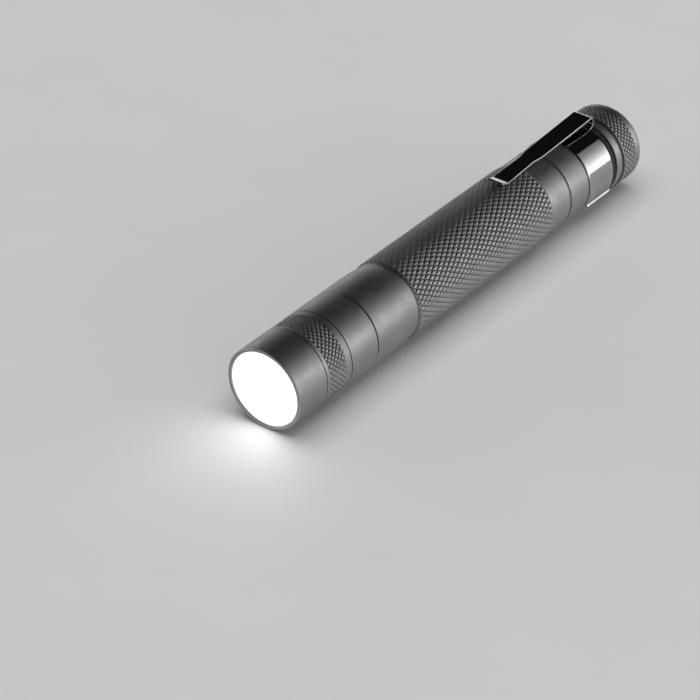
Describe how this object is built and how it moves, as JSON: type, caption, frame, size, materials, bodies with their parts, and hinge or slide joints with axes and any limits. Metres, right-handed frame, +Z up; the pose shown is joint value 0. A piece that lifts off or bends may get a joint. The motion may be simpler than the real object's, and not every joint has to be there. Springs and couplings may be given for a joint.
{
  "type": "zoom flashlight",
  "caption": "Slim zoom flashlight with a sliding focus head, diamond-knurled grip, sheet-metal pocket clip and a screw-on tail cap with a push button.",
  "frame": {"origin": "on the surface that the light lies on, below the middle of its length", "axes": "+X from the lens to the tail cap along the light's axis, +Z up through the pocket clip"},
  "size_m": [0.121, 0.018, 0.0202],
  "materials": {
    "anodised": "dark grey satin anodised, fine knurl on the grip bands",
    "plated": "polished plated sheet steel",
    "lens": "clear and lit from behind, so it glows white",
    "rubber": "matte black",
    "brass": "turned",
    "spring_steel": "bright drawn wire",
    "light_board": "white solder mask on a metal core",
    "white_plastic": "moulded",
    "black_plastic": "moulded",
    "circuit_board": "green solder mask",
    "emitter": "yellow phosphor under a clear dome",
    "ferrite": "dark sintered core",
    "red_jacket": "wire jacket",
    "black_jacket": "wire jacket",
    "cell_wrap": "plain foil wrap; aluminium gives the cell about its real mass"
  },
  "bodies": {
    "barrel": {"neck_housing": "anodised", "zoom_stop_ring": "spring_steel", "zoom_o_ring": "rubber", "led_emitter": "emitter", "led_board": "light_board", "led_retainer": "white_plastic", "led_wire_positive": "red_jacket", "led_wire_negative": "black_jacket", "driver_board": "circuit_board", "driver_inductor": "ferrite", "driver_retainer": "brass", "positive_contact_spring": "spring_steel", "neck_o_ring": "rubber", "body_tube": "anodised", "battery_cell": "cell_wrap"},
    "zoom_head": {"front_bezel": "anodised", "lens": "lens", "lens_o_ring": "rubber", "head_sleeve": "anodised"},
    "clip": {"pocket_clip": "plated"},
    "tail_seal": {"tail_o_ring": "rubber"},
    "tail_cap": {"tail_cap": "anodised", "switch_retainer": "brass", "switch_contact_board": "circuit_board", "tail_spring": "spring_steel", "switch_body": "black_plastic", "switch_spacer": "white_plastic"},
    "button": {"button_boot": "rubber", "switch_plunger": "white_plastic"}
  },
  "joints": [
    {"name": "zoom_slide", "type": "slide", "parent": "barrel", "child": "zoom_head", "axis": [-1, 0, 0], "range_m": [0, 0.006]},
    {"name": "clip_swivel", "type": "hinge", "parent": "barrel", "child": "clip", "pos_m": [0.0448, 0, 0.00896], "axis": [1, 0, 0], "continuous": true},
    {"name": "tail_cap_travel", "type": "slide", "parent": "barrel", "child": "tail_seal", "axis": [1, 0, 0], "range_m": [0, 0.006]},
    {"name": "tail_cap_turn", "type": "hinge", "parent": "tail_seal", "child": "tail_cap", "pos_m": [0.0507, 0, 0.00896], "axis": [1, 0, 0], "range_deg": [0, 2160]},
    {"name": "button_press", "type": "slide", "parent": "tail_cap", "child": "button", "axis": [-1, 0, 0], "range_m": [0, 0.0012], "stiffness_N_per_m": 600}
  ],
  "couplings": [
    {"joint": "tail_cap_travel", "follows": "tail_cap_turn", "m_per_rad": 0.00015915}
  ]
}
